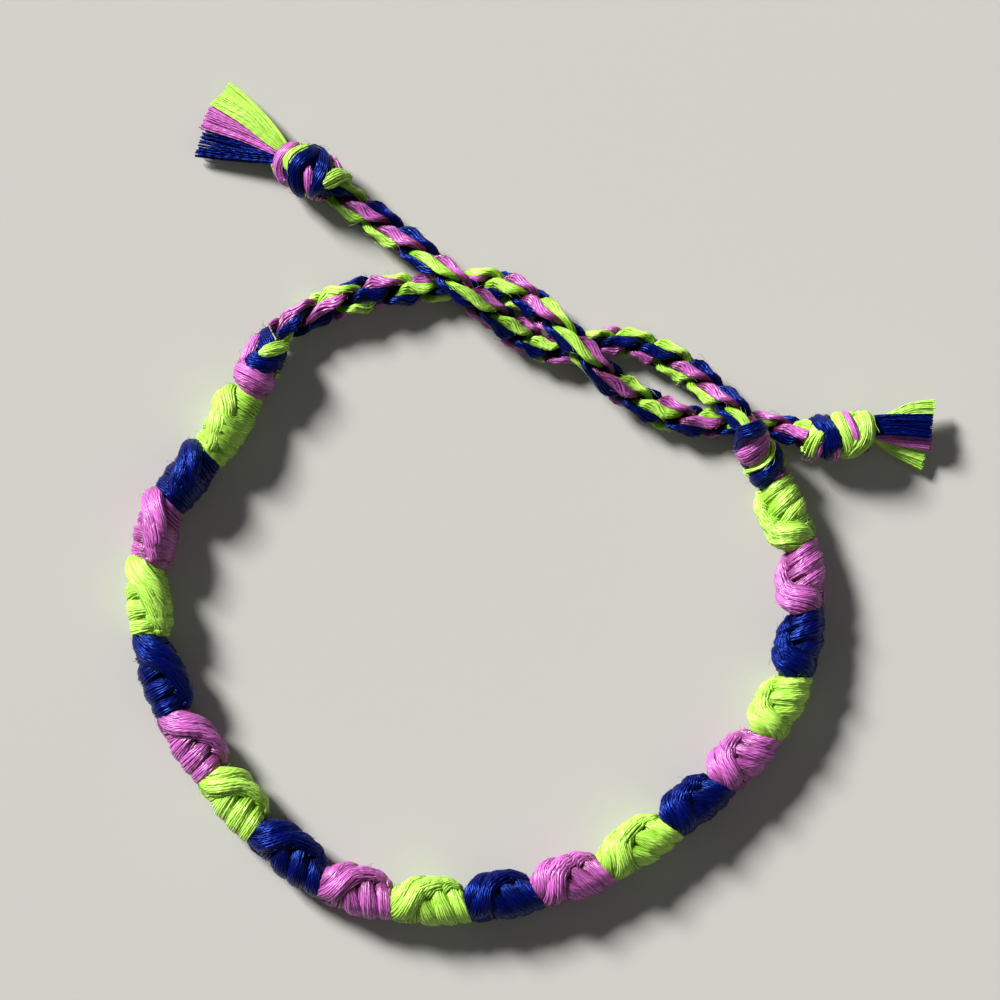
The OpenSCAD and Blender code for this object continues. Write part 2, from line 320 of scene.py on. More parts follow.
# The ridges of the hitches: where each starts and ends as shares of the run, and its angles there
RIDGES = [
    (0.0, 0.46, 62, 172), (0.02, 0.58, 14, 150), (0.36, 0.76, 124, 163), (0.62, 0.97, 144, 172),
    (0.85, 1.0, 156, 175),
]
# Along a ridge: share of it, drop, width and painted shade
RIDGE_STATIONS = [(0, 0.5, 1.2, 0.7), (0.33, 0.05, 1.15, 0.1), (0.67, 0, 1, 0), (1, 0.12, 0.8, 0.4)]
RIDGE_HALF_WIDTH = 0.82
RIDGE_HALF_DEPTH = 0.34
# The most that a ridge stands out: past the run's radius at its own middle, and past the radius at each place
RIDGE_LIFT = 0.1
RIDGE_LOCAL_LIFT = 0.12
# How quickly a ridge turns at its start
RIDGE_HURRY = 1.5
RIDGE_FIRST_PLACE = 0.15
RIDGE_LAST_MARGIN = 0.2
# Chance in each ridge: millimetres for its start and end, degrees for its angles and a share for its width
START_CHANCE = (-0.1, 0.15)
END_CHANCE = (-0.15, 0.1)
ANGLE_CHANCE = (-6, 6)
WIDTH_CHANCE = (0.92, 1.1)

# The wrap from one ridge to the next: share of its angle, share of its way back, width, drop and painted
# shade
WRAP_STATIONS = [
    (0.2, 0.0, 0.95, 0, 0.3), (0.4, 0.1, 1, 0, 0.3), (0.6, 0.25, 1.05, 0, 0.1), (0.77, 0.5, 1, 0.02, 0),
    (0.9, 0.8, 0.75, 0.14, 0.6),
]
WRAP_HALF_WIDTH = 1.05
WRAP_HALF_DEPTH = 0.27
WRAP_SINK = 0.3
WRAP_MARGIN = 0.5

# The plain wraps at both ends of a run: degrees before the first ridge starts and after the last one ends
DEGREES_BEFORE = (360, 270, 180, 90)
DEGREES_AFTER = (70, 150, 240, 330, 400)
END_WRAP_PLACE = 0.38
END_WRAP_HALF_WIDTH = 0.42
END_WRAP_HALF_DEPTH = 0.25
END_WRAP_SINK = 0.3
# Painted shade on these end wraps
END_WRAP_SHADE = 0.3

# The strand that closes the arch over the later ridges: share of the run, angle, half width, drop and painted
# shade
ARCH = [
    (0.24, 98, 0.6, 0.4, 0.7), (0.36, 124, 0.7, 0.02, 0), (0.54, 141, 0.75, 0, 0), (0.72, 152, 0.7, 0.04, 0),
    (0.88, 166, 0.55, 0.35, 0.5),
]
ARCH_HALF_DEPTH = 0.3
ARCH_LIFT = 0.14
ARCH_CHANCE = (-0.04, 0.05)

# The plain turns under the first hitches: where they start, and how far they get in a degree. Their strand
# has a half width, half depth and painted shade.
FIRST_TURNS = range(0, 1170, 90)
FIRST_TURN_ANGLE = -90
FIRST_TURN_PLACE = 0.5
FIRST_TURN_PITCH = 0.0022
FIRST_TURN_SINK = 0.45
FIRST_TURN_STRAND = (0.62, 0.2, 0.45)

# Threads across each strand of a run. Only the arch has a second row under the first one.
HITCH_THREADS = 12
ARCH_THREADS = 8
ARCH_LOW_THREADS = 3
FIRST_TURN_THREADS = 5


def fullness(axis, s):
    """Radius of a run at a place along it."""
    return RUN_RADIUS * np.interp(s / axis.length, *zip(*RUN_FULLNESS))


def end_wraps(axis, place, angles):
    """Stations of the plain wraps at one end of a run."""
    reach = fullness(axis, 0) - END_WRAP_SINK
    return [
        (place, angle, reach, END_WRAP_HALF_WIDTH, END_WRAP_HALF_DEPTH, END_WRAP_SHADE) for angle in angles
    ]


def ridge_stations(axis, start, end, low, high, half_width):
    """Stations of the part of a hitch that shows as a ridge."""
    highest = fullness(axis, (start + end) / 2) + RIDGE_LIFT
    stations = []
    for share, drop, wide, shade in RIDGE_STATIONS:
        place = start + share * (end - start)
        place = max(RIDGE_FIRST_PLACE, min(axis.length - RIDGE_LAST_MARGIN, place))
        angle = low + (high - low) * (1 - (1 - share) ** RIDGE_HURRY)
        reach = min(highest, fullness(axis, place) + RIDGE_LOCAL_LIFT) - drop
        stations.append((place, angle, reach, half_width * wide, RIDGE_HALF_DEPTH, shade))
    return stations


def wrap_stations(axis, end, next_start, high, next_low):
    """Stations of a hitch on its way round the run, from the end of one ridge to the start of the next."""
    wrap = fullness(axis, (end + next_start) / 2) - WRAP_SINK
    stations = []
    for share, drift, wide, drop, shade in WRAP_STATIONS:
        angle = high + share * (next_low - high)
        place = end + drift * (next_start - end)
        place = min(axis.length - WRAP_MARGIN, max(WRAP_MARGIN, place))
        stations.append((place, angle, wrap - drop, WRAP_HALF_WIDTH * wide, WRAP_HALF_DEPTH, shade))
    return stations


def hitch_stations(axis, rng, lean):
    """One strand hitched along a run: each hitch makes a ridge, goes round and dives under that ridge."""
    full = axis.length
    first_angle = RIDGES[0][2] + lean
    stations = end_wraps(axis, END_WRAP_PLACE, [first_angle - back for back in DEGREES_BEFORE])
    for k, (first, last, low, high) in enumerate(RIDGES):
        start = first * full + rng.uniform(*START_CHANCE)
        end = last * full + rng.uniform(*END_CHANCE)
        low += 360 * k + lean + rng.uniform(*ANGLE_CHANCE)
        high += 360 * k + lean + rng.uniform(*ANGLE_CHANCE)
        half_width = RIDGE_HALF_WIDTH * rng.uniform(*WIDTH_CHANCE)
        stations += ridge_stations(axis, start, end, low, high, half_width)
        if k < len(RIDGES) - 1:
            next_start = RIDGES[k + 1][0] * full
            next_low = RIDGES[k + 1][2] + lean + 360 * (k + 1)
            stations += wrap_stations(axis, end, next_start, high, next_low)
    return stations + end_wraps(axis, full - END_WRAP_PLACE, [high + on for on in DEGREES_AFTER])


def arch_stations(axis, rng, lean):
    """The strand that runs on over the later ridges along the inner side."""
    shift = rng.uniform(*ARCH_CHANCE)
    stations = []
    for share, angle, wide, drop, shade in ARCH:
        place = (share + shift) * axis.length
        reach = fullness(axis, place) + ARCH_LIFT - drop
        stations.append((place, angle + lean, reach, wide, ARCH_HALF_DEPTH, shade))
    return stations


def first_turns(axis):
    """The plain turns that lie under the first hitches."""
    stations = []
    for turned in FIRST_TURNS:
        place = FIRST_TURN_PLACE + FIRST_TURN_PITCH * turned
        reach = fullness(axis, place) - FIRST_TURN_SINK
        stations.append((place, turned + FIRST_TURN_ANGLE, reach, *FIRST_TURN_STRAND))
    return stations


def ridge_bulge(axis, lean):
    """How much farther out the threads of a run lie at a place and angle."""

    def bulge(s, angle):
        ridge_side = np.clip(-np.cos(np.radians(angle - lean)), 0, 1)
        from_end = np.minimum(s, axis.length - s)
        neck = NECK_DEPTH * np.exp(-((from_end / NECK_LENGTH) ** 2))
        return ridge_side * (SWELL * np.sin(np.pi * s / axis.length) - neck)

    return bulge


def run_core(threads, colour, axis):
    """The hidden middle of a run, so that no light shows through between its threads."""
    s = np.linspace(RUN_CORE_MARGIN, axis.length - RUN_CORE_MARGIN, RUN_CORE_POINTS)
    share = np.interp(s / axis.length, *zip(*RUN_CORE_TAPER))
    # The core is drawn in full painted shade, dark where it shows between the threads
    threads.add(colour, axis.frame(s)[0][:, :3], RUN_CORE_RADIUS * share, PAINTED_CORE_SHADE)


def run(i):
    """A colour run of the band. The runs are numbered from 0 at the band's left end."""
    axis = Axis(BAND_ROUTE, i, i + 1)
    colour = COLOURS[i % len(COLOURS)]
    threads = Threads(RUN_SEED + i)
    rng = threads.rng
    run_core(threads, colour, axis)
    lean = RIDGE_LEANS[i] if i < len(RIDGE_LEANS) else rng.uniform(*OTHER_LEANS)
    bulge = ridge_bulge(axis, lean)
    hitches = hitch_stations(axis, rng, lean)
    lay_strand(threads, colour, axis, hitches, row_of(HITCH_THREADS, TOP_ROW), bulge=bulge)
    lay_strand(threads, colour, axis, hitches, filling(WRAP_HALF_WIDTH), FILLING_RADIUS, FILLING_STEP, bulge)
    arch_rows = row_of(ARCH_THREADS, TOP_ROW) + row_of(ARCH_LOW_THREADS, LOW_ROW)
    lay_strand(threads, colour, axis, arch_stations(axis, rng, lean), arch_rows, bulge=bulge)
    lay_strand(threads, colour, axis, first_turns(axis), row_of(FIRST_TURN_THREADS, TOP_ROW), bulge=bulge)
    fuzz(threads, axis, RUN_FIBRES)
    dress(f"run_{i + 1:02d}_{colour}", threads)


# How the plies wind: length along the tie, and how often the plies have changed places there
LEFT_LOBES = [
    (0, -1.3), (6.0, 0), (10.6, 1), (15.0, 2), (19.5, 3), (24.2, 4), (28.5, 5), (33.9, 6), (39.8, 7),
    (44.6, 8), (60, 11.2),
]
RIGHT_LOBES = [
    (0, -1.15), (4.8, 0), (8.9, 1), (12.9, 2), (16.5, 3), (20.7, 4), (24.9, 5), (28.7, 6), (33.6, 7),
    (38.4, 8), (43.3, 9), (47.9, 10), (52, 10.9),
]
PLY_OFFSET = 0.8
PLY_HALF_THICKNESS = 0.72
PLY_HALF_WIDTH = 1.26
# The hidden core that closes the gap between the two plies
PLY_CORE_COLOUR = BLUE
PLY_CORE_OFFSET = 0.42
PLY_CORE_RADIUS = 0.48
# How far a ply runs on inside its end knot
PLY_OVERLAP = 0.7

FLOSS_ORDER = (LIME, PINK, BLUE)
THIRD_TURN = 120


def in_order(turns):
    """Angles of three flosses a third of a turn apart, from the first one's at the lobe numbers."""
    return {
        colour: [(lobe, turn + THIRD_TURN * k) for lobe, turn in turns]
        for k, colour in enumerate(FLOSS_ORDER)
    }


# Each ply: its route, lobes and angle at lobe 0, and the angle of each of its flosses at lobe numbers.
# Against those of Axis.around these angles are reversed: 0 is left of the tie, 90 on top and 180 right of it.
PLIES = {
    "left_tie_ply_a": (LEFT_ROUTE, LEFT_LOBES, 90, {
        LIME: [(-2, -170), (0, -30), (2, 450), (12, 2250)],
        PINK: [(-2, -50), (0, 90), (2, 330), (12, 2130)],
        BLUE: [(-2, 70), (0, 210), (2, 570), (12, 2370)],
    }),
    "left_tie_ply_b": (LEFT_ROUTE, LEFT_LOBES, 270, in_order([
        (-2, 120), (-1, 230), (-0.4, 305), (1, 590), (3, 1000), (5, 1410), (7, 1770), (9, 2130), (12, 2670),
    ])),
    "right_tie_ply_a": (RIGHT_ROUTE, RIGHT_LOBES, 90, in_order([
        (-2, -270), (0, -30), (2, 210), (4, 570), (6, 845), (8, 1170), (10, 1410), (12, 1650),
    ])),
    "right_tie_ply_b": (RIGHT_ROUTE, RIGHT_LOBES, 270, in_order([
        (-1, 90), (1, 330), (3, 570), (5, 845), (7, 1170), (9, 1410), (11, 1650),
    ])),
}

# A floss of a ply: its threads lie side by side round the ply's oval, to FLOSS_SECTOR degrees on each side,
# and those in its middle stand out most
FLOSS_THREADS = 9
FLOSS_SECTOR = 50
FLOSS_DEPTH = 0.93
FLOSS_BULGE = 0.36
FLOSS_SINK = 0.25
FLOSS_CORE_DEPTH = 0.72
FLOSS_CORE_RADIUS = 0.34
# Length and size of the waves: of a whole floss, of a thread round the ply, and of a thread outwards
FLOSS_WANDER = (3, 3)
FLOSS_THREAD_WANDER = (2.5, 1.8)
FLOSS_OUT_WANDER = (2.2, 0.02)
FLOSS_RADIUS_SPREAD = (0.95, 1.15)
# A thread gets painted shade at the edges of its floss. It also gets painted shade where it turns in towards
# the other ply, from SHADE_FROM degrees on, and lies in full painted shade after SHADE_OVER degrees more.
FLOSS_EDGE_SHADE = 0.75
SHADE_FROM = 50
SHADE_OVER = 60


def tie_ply(name, seed):
    """Three flosses that wind round each other against the twist of the tie."""
    table, lobes, first_angle, floss_turns = PLIES[name]
    axis = Axis(table)
    threads = Threads(seed)
    rng = threads.rng
    s = np.linspace(0, axis.length + PLY_OVERLAP, int(axis.length / THREAD_STEP))
    row, along, left, top = axis.frame(s)
    middle, size = row[:, :3], row[:, 3]
    lobe = np.interp(s, *zip(*lobes))
    outward = first_angle - 180 * lobe
    out_of_tie = np.cos(np.radians(outward))[:, None] * left + np.sin(np.radians(outward))[:, None] * top
    across_ply = np.cross(along, out_of_tie)
    centre = middle + (size * PLY_OFFSET)[:, None] * out_of_tie

    def on_oval(angle, share, sink):
        """Places on the ply's oval outline, at a share of its size and a little way in."""
        turned = np.radians(angle - outward)
        thick = np.cos(turned) * (PLY_HALF_THICKNESS * share * size - sink)
        wide = np.sin(turned) * (PLY_HALF_WIDTH * share * size - sink)
        return centre + thick[:, None] * out_of_tie + wide[:, None] * across_ply

    ply_core = middle + (PLY_CORE_OFFSET * size)[:, None] * out_of_tie
    # The ply's core and each floss's core lie in full painted shade
    threads.add(PLY_CORE_COLOUR, ply_core, PLY_CORE_RADIUS * size, PAINTED_CORE_SHADE)
    for colour, turns in floss_turns.items():
        floss = np.interp(lobe, *zip(*turns)) + wander(rng, s, *FLOSS_WANDER)
        threads.add(colour, on_oval(floss, FLOSS_CORE_DEPTH, FLOSS_SINK), FLOSS_CORE_RADIUS * size, PAINTED_CORE_SHADE)
        for offset in np.linspace(-FLOSS_SECTOR, FLOSS_SECTOR, FLOSS_THREADS):
            angle = floss + offset + wander(rng, s, *FLOSS_THREAD_WANDER)
            share = FLOSS_DEPTH * (1 + FLOSS_BULGE * math.cos(math.radians(len(FLOSS_ORDER) * offset)))
            line = on_oval(angle, share, FLOSS_SINK + wander(rng, s, *FLOSS_OUT_WANDER))
            turned_in = np.abs((angle - outward + 180) % 360 - 180)
            edge_shade = FLOSS_EDGE_SHADE * abs(offset / FLOSS_SECTOR) ** 3
            shade = edge_shade + np.clip((turned_in - SHADE_FROM) / SHADE_OVER, 0, 1)
            threads.add(colour, line, THREAD_RADIUS * rng.uniform(*FLOSS_RADIUS_SPREAD), shade)
    fuzz(threads, axis, TIE_FIBRES)
    dress(name, threads)


# Each knot: its route, the colour of its body and the strands that show on it. Each strand has a colour,
# a half width, a lift (of its first and last place where they differ), and places along the knot with angles.
KNOTS = {
    "right_tie_end_knot": (RIGHT_END_KNOT, BLUE, [
        (PINK, 0.62, 0.02, [(5.5, 18), (5.7, 44), (5.9, 68), (6.1, 102), (5.8, 144), (4.9, 170), (3.9, 215)]),
        (LIME, 0.46, 0.18, [(4.6, 120), (5.0, 106), (5.2, 92), (5.1, 66), (4.5, 36), (4.0, -10)]),
        (BLUE, 0.80, 0.15, [
            (2.4, 215), (2.8, 167), (3.9, 134), (4.5, 107), (4.5, 79), (4.1, 47), (3.9, 8), (3.6, -50),
        ]),
        (BLUE, 0.75, 0.20, [(4.3, 31), (3.5, 8), (2.6, 31), (2.0, 65), (1.8, 101), (1.6, 150)]),
        (PINK, 0.58, -0.16, [(3.4, 78), (3.1, 92), (2.7, 108), (2.3, 128), (1.7, 169), (1.3, 220)]),
        (PINK, 0.50, 0.30, [(2.6, -20), (2.0, 0), (1.4, 8), (0.9, 18), (0.4, 30)]),
        (LIME, 0.68, (0.15, 1.0), [(1.7, 105), (1.35, 88), (1.0, 60), (0.5, 34), (-0.1, 16), (-0.5, 12)]),
    ]),
    "left_tie_end_knot": (LEFT_END_KNOT, LIME, [
        (BLUE, 0.88, 0.15, [(0.5, 215), (0.9, 172), (1.7, 136), (2.4, 108), (2.8, 82), (2.7, 60), (2.4, 40)]),
        (BLUE, 0.40, 0.05, [(1.9, 107), (2.0, 75), (1.9, 11), (1.9, -30)]),
        (LIME, 0.46, 0.05, [(0.8, -30), (0.85, 11), (1.05, 66), (1.4, 95), (1.9, 112)]),
        (PINK, 0.50, 0.00, [(1.6, 72), (1.3, 47), (1.0, 11), (0.8, -30)]),
        (PINK, 0.55, 0.02, [(3.1, 86), (2.9, 58), (2.8, 11), (2.7, -30)]),
        (LIME, 0.85, 0.00, [(3.1, 215), (3.3, 165), (3.6, 118), (4.0, 86), (4.2, 52), (3.8, 16), (3.5, -30)]),
        (PINK, 0.42, 0.05, [(3.9, 205), (4.1, 168), (4.4, 132), (4.7, 104), (4.9, 78), (5.0, 52)]),
        (LIME, 1.00, 0.10, [(5.6, 215), (5.7, 169), (5.8, 125), (5.7, 92), (5.2, 62), (4.2, 32), (3.4, -10)]),
    ]),
    "left_band_knot": (LEFT_BAND_KNOT, PINK, [
        (BLUE, 0.95, 0.15, [(5.6, 215), (5.4, 169), (4.9, 121), (4.2, 90), (3.6, 77)]),
        (PINK, 0.80, 0.10, [(5.2, 190), (4.8, 160), (3.9, 147), (2.4, 138), (1.6, 119)]),
        (BLUE, 0.90, 0.20, [(2.2, 137), (2.5, 119), (2.8, 99), (3.1, 71), (3.7, 45), (4.9, 8), (5.2, -40)]),
        (LIME, 0.60, (0.45, 0.75), [(3.5, 102), (3.8, 88), (4.3, 70), (5.0, 32), (5.2, 8), (5.2, -30)]),
        (PINK, 1.15, 0.10, [(1.3, 175), (1.3, 129), (1.3, 101), (1.2, 66), (1.3, 18), (1.7, -30)]),
        (PINK, 0.60, -0.15, [(0.4, 160), (0.3, 114), (0.0, 72), (-0.1, 11), (0.1, -30)]),
    ]),
    "right_band_knot": (RIGHT_BAND_KNOT, BLUE, [
        (BLUE, 0.80, 0.72, [(3.8, 205), (4.6, 178), (5.6, 158), (6.5, 128), (6.7, 88), (6.4, 48), (5.8, 20)]),
        (PINK, 1.35, 0.32, [(3.4, 215), (3.8, 169), (4.3, 124), (4.8, 76), (5.2, 11), (5.4, -35)]),
        (LIME, 0.20, 0.04, [(1.9, 175), (2.4, 140), (2.8, 104), (3.2, 70), (3.9, 20), (4.3, -20)]),
        (BLUE, 1.20, 0.04, [(0.6, 190), (0.9, 137), (1.4, 93), (1.9, 59), (2.7, 11), (3.2, -40)]),
        (PINK, 0.40, 0.00, [(0.0, 100), (0.2, 73), (0.1, 46), (0.1, 10)]),
        (BLUE, 0.50, -0.20, [(0.0, 170), (-0.2, 141), (-0.3, 110), (-0.4, 83), (-0.3, 30)]),
    ]),
}
KNOT_THREAD_SPACING = 0.16
KNOT_THREAD_RADIUS = 0.125
FEWEST_KNOT_THREADS = 5
KNOT_SINK = 0.38
KNOT_HALF_DEPTH = 0.3
# How a strand starts and ends: share of its width, and how far it dives
KNOT_END_WIDTH = 0.5
KNOT_END_DIVE = 0.3
# How much painted shade a strand gets for each millimetre that it dives
SHADE_PER_DIVE = 2

# The body under the strands of a knot
KNOT_BODY_SINK = 0.55
KNOT_BODY_MARGIN = 0.1
KNOT_BODY_POINTS = 14

# The wraps under a knot, as shares of its length, and how far along the knot each leans at its angles.
# Their strand has a half width, half depth and painted shade.
UNDERSIDE = [0.12, 0.3, 0.5, 0.7, 0.88]
UNDERSIDE_TURNS = [(0.3, 150), (0.1, 220), (-0.1, 300), (-0.3, 385)]
UNDERSIDE_SINK = 0.5
UNDERSIDE_STRAND = (0.62, 0.25, 0.5)
UNDERSIDE_THREADS = 5


def knot_underside(threads, axis, radius_at, seed):
    """The plain wraps that close a knot below, in the three colours in turn. The seed picks the first one."""
    for n, share in enumerate(UNDERSIDE):
        place = share * axis.length
        reach = radius_at([place])[0] - UNDERSIDE_SINK
        stations = [(place + lean, angle, reach, *UNDERSIDE_STRAND) for lean, angle in UNDERSIDE_TURNS]
        colour = COLOURS[(seed + n) % len(COLOURS)]
        lay_strand(threads, colour, axis, stations, row_of(UNDERSIDE_THREADS, TOP_ROW))


def knot(name, seed):
    """A knot of strands that pass over each other, narrow at both ends where they dive."""
    table, body_colour, strands = KNOTS[name]
    axis = Axis(table)
    threads = Threads(seed)

    def radius_at(s):
        return axis.frame(np.clip(np.asarray(s, float), 0, axis.length))[0][:, 3]

    s = np.linspace(KNOT_BODY_MARGIN, axis.length - KNOT_BODY_MARGIN, KNOT_BODY_POINTS)
    threads.add(body_colour, axis.frame(s)[0][:, :3], radius_at(s) - KNOT_BODY_SINK)
    knot_underside(threads, axis, radius_at, seed)
    for colour, half_width, lift, places in strands:
        between = len(places) - 2
        lifts = np.linspace(*np.broadcast_to(lift, 2), len(places))
        reaches = radius_at([place for place, angle in places]) - KNOT_SINK + lifts
        shares = [KNOT_END_WIDTH] + [1] * between + [KNOT_END_WIDTH]
        dives = [KNOT_END_DIVE] + [0] * between + [KNOT_END_DIVE]
        stations = [
            (place, angle, reach - dive, half_width * share, KNOT_HALF_DEPTH, SHADE_PER_DIVE * dive)
            for (place, angle), reach, share, dive in zip(places, reaches, shares, dives)
        ]
        count = max(FEWEST_KNOT_THREADS, round(2 * half_width / KNOT_THREAD_SPACING) + 1)
        lay_strand(threads, colour, axis, stations, row_of(count, TOP_ROW), KNOT_THREAD_RADIUS)
        lay_strand(threads, colour, axis, stations, filling(half_width), FILLING_RADIUS, FILLING_STEP)
    fuzz(threads, axis, KNOT_FIBRES)
    dress(name, threads)


# Each lock of a tassel: colour, slant of the cut, and x, y, z, half width and half depth from knot to cut
TASSELS = {
    "right_tie_tassel": [
        (LIME, 0.0, [
            (-24.2, 35.7, 2.2, 0.3, 0.3), (-25.4, 37.2, 2.1, 0.5, 0.35), (-27.6, 39.6, 1.7, 0.65, 0.4),
            (-30.4, 42.0, 1.1, 0.7, 0.4),
        ]),
        (LIME, 0.3, [
            (-24.2, 35.5, 2.3, 0.3, 0.3), (-25.8, 36.7, 2.4, 0.5, 0.35), (-28.2, 38.95, 2.1, 0.7, 0.4),
            (-31.35, 40.92, 1.4, 0.75, 0.4),
        ]),
        (PINK, 0.1, [
            (-24.2, 35.3, 2.2, 0.4, 0.3), (-25.6, 36.0, 2.1, 0.6, 0.35), (-28.6, 37.55, 1.6, 0.82, 0.4),
            (-32.45, 39.15, 1.1, 1.2, 0.45),
        ]),
        (BLUE, 0.3, [
            (-24.3, 34.9, 2.0, 0.4, 0.3), (-25.8, 35.3, 1.9, 0.8, 0.35), (-28.8, 35.8, 1.4, 1.05, 0.45),
            (-33.0, 36.6, 0.9, 1.35, 0.5),
        ]),
    ],
    "left_tie_tassel": [
        (LIME, 0.1, [
            (33.6, 8.1, 2.2, 0.4, 0.3), (35.0, 8.5, 2.1, 0.5, 0.35), (36.8, 9.1, 2.1, 0.7, 0.35),
            (38.4, 9.6, 2.1, 0.9, 0.4), (40.3, 9.45, 2.0, 1.25, 0.4),
        ]),
        (PINK, 0.0, [
            (33.6, 7.6, 2.1, 0.4, 0.3), (35.0, 7.3, 2.0, 0.5, 0.35), (37.0, 7.0, 1.8, 0.65, 0.4),
            (40.1, 6.6, 1.6, 0.7, 0.4),
        ]),
        (LIME, -0.4, [
            (33.6, 7.3, 2.0, 0.35, 0.3), (34.8, 6.9, 1.8, 0.4, 0.35), (36.4, 5.9, 1.3, 0.5, 0.35),
            (39.4, 4.7, 0.9, 0.9, 0.35),
        ]),
        (BLUE, 0.0, [
            (33.6, 8.1, 2.5, 0.6, 0.3), (34.6, 8.25, 2.7, 0.92, 0.35), (37.0, 8.3, 2.7, 1.0, 0.4),
            (40.1, 8.1, 2.5, 1.15, 0.4),
        ]),
    ],
}
# The rows of threads in a lock: how many, and the row's height as a share of the lock's half depth
TASSEL_ROWS = [(20, 0.85), (16, 0.2), (13, -0.7)]
TASSEL_THREAD_RADIUS = 0.085
TASSEL_RADIUS_SPREAD = (0.85, 1.1)
TASSEL_POINTS = 18
TASSEL_CROWN = 0.4
TASSEL_SIDE_WANDER = (0.9, 0.05)
TASSEL_OUT_WANDER = (0.9, 0.18)
# How much longer or shorter a thread is: by the slant of the cut, and by chance
CUT_SLANT = 0.08
CUT_CHANCE = (-0.025, 0.02)


def tassel(name, seed):
    """The cut ends of the flosses behind an end knot, in flat locks that fan out."""
    threads = Threads(seed)
    rng = threads.rng
    for colour, slant, stations in TASSELS[name]:
        u = np.linspace(0, len(stations) - 1, TASSEL_POINTS)
        rows = rows_at(stations, u)
        middle, half_width, half_depth = rows[:, :3], rows[:, 3], rows[:, 4]
        along = unit(np.gradient(middle, axis=0))
        left = unit(np.cross(UP, along))
        top = np.cross(along, left)
        for count, level in TASSEL_ROWS:
            for x in np.linspace(-1, 1, count):
                across = half_width * (x + wander(rng, u, *TASSEL_SIDE_WANDER))
                out = half_depth * (level * (1 - TASSEL_CROWN * x * x) + wander(rng, u, *TASSEL_OUT_WANDER))
                points = middle + across[:, None] * left + out[:, None] * top
                reach = 1 + slant * CUT_SLANT * x + rng.uniform(*CUT_CHANCE)
                points = points[0] + (points - points[0]) * reach
                threads.add(colour, points, TASSEL_THREAD_RADIUS * rng.uniform(*TASSEL_RADIUS_SPREAD))
    dress(name, threads)


def sweep_nodes(sides):
    """Sweeps a ring along each line, and keeps length along it, place round it, painted shade and a random
    shade.
    """
    group = bpy.data.node_groups.new("thread_sweep", "GeometryNodeTree")
    group.interface.new_socket("Lines", in_out="INPUT", socket_type="NodeSocketGeometry")
    group.interface.new_socket("Mesh", in_out="OUTPUT", socket_type="NodeSocketGeometry")
    node = group.nodes.new
    link = group.links.new

    def store(name, kind, domain):
        made = node("GeometryNodeStoreNamedAttribute")
        made.data_type = kind
        made.domain = domain
        made.inputs["Name"].default_value = name
        return made

    lines = node("NodeGroupInput")
    out = node("NodeGroupOutput")
    along = store("along", "FLOAT", "POINT")
    painted_shade = store("painted_shade", "FLOAT", "POINT")
    shade = store("shade", "FLOAT", "CURVE")
    around = store("around", "FLOAT_VECTOR", "POINT")
    chance = node("FunctionNodeRandomValue")
    chance.data_type = "FLOAT"
    ring = node("GeometryNodeCurvePrimitiveCircle")
    ring.inputs["Resolution"].default_value = sides
    ring.inputs["Radius"].default_value = 1
    swept = node("GeometryNodeCurveToMesh")
    swept.inputs["Fill Caps"].default_value = True
    link(lines.outputs["Lines"], along.inputs["Geometry"])
    link(node("GeometryNodeSplineParameter").outputs["Length"], along.inputs["Value"])
    link(along.outputs["Geometry"], painted_shade.inputs["Geometry"])
    link(node("GeometryNodeInputCurveTilt").outputs["Tilt"], painted_shade.inputs["Value"])
    link(painted_shade.outputs["Geometry"], shade.inputs["Geometry"])
    link(next(socket for socket in chance.outputs if socket.enabled), shade.inputs["Value"])
    link(shade.outputs["Geometry"], swept.inputs["Curve"])
    link(ring.outputs["Curve"], around.inputs["Geometry"])
    link(node("GeometryNodeInputPosition").outputs["Position"], around.inputs["Value"])
    link(around.outputs["Geometry"], swept.inputs["Profile Curve"])
    link(node("GeometryNodeInputRadius").outputs["Radius"], swept.inputs["Scale"])
    link(swept.outputs["Mesh"], out.inputs["Mesh"])
    return group


THREAD_SWEEP = sweep_nodes(THREAD_SIDES)
FIBRE_SWEEP = sweep_nodes(FIBRE_SIDES)


def threads_mesh(name, lines, material, sweep):
    """The threads of one colour as a mesh object. A point's tilt carries its painted shade to the sweep."""
    curve = bpy.data.curves.new(name, "CURVE")
    curve.dimensions = "3D"
    for points, radius, painted_shade in lines:
        spline = curve.splines.new("POLY")
        spline.points.add(len(points) - 1)
        spline.points.foreach_set("co", np.hstack([points, np.ones((len(points), 1))]).ravel())
        spline.points.foreach_set("radius", radius)
        spline.points.foreach_set("tilt", painted_shade)
    holder = bpy.data.objects.new(name + "_lines", curve)
    bpy.context.scene.collection.objects.link(holder)
    holder.modifiers.new("sweep", "NODES").node_group = sweep
    depsgraph = bpy.context.evaluated_depsgraph_get()
    mesh = bpy.data.meshes.new_from_object(holder.evaluated_get(depsgraph), depsgraph=depsgraph)
    bpy.data.objects.remove(holder)
    bpy.data.curves.remove(curve)
    mesh.name = name
    mesh.materials.clear()
    mesh.materials.append(material)
    made = bpy.data.objects.new(name, mesh)
    bpy.context.scene.collection.objects.link(made)
    return made


def joined(name, objects):
    """One object from several, which keeps their materials."""
    first = objects[0]
    if len(objects) > 1:
        with bpy.context.temp_override(active_object=first, selected_editable_objects=objects):
            bpy.ops.object.join()
    first.name = name
    first.data.name = name
    return first


def dress(node, threads):
    """Makes the threads one piece that stands for a solid of the part."""
    name = node + "_threads"
    kinds = [("thread", threads.lines, THREAD_SWEEP), ("fibre", threads.fibres, FIBRE_SWEEP)]
    parts = []
    for kind, lines_of, sweep in kinds:
        for colour, lines in lines_of.items():
            if lines:
                parts.append(threads_mesh(f"{name}_{kind}_{colour}", lines, MATERIALS[colour], sweep))
    piece = joined(name, parts)
    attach(piece, "root")
    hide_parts(node)


# Where a mix node has its sockets for colours
MIX_FIRST_COLOUR = 6
MIX_SECOND_COLOUR = 7
MIX_RESULT_COLOUR = 2


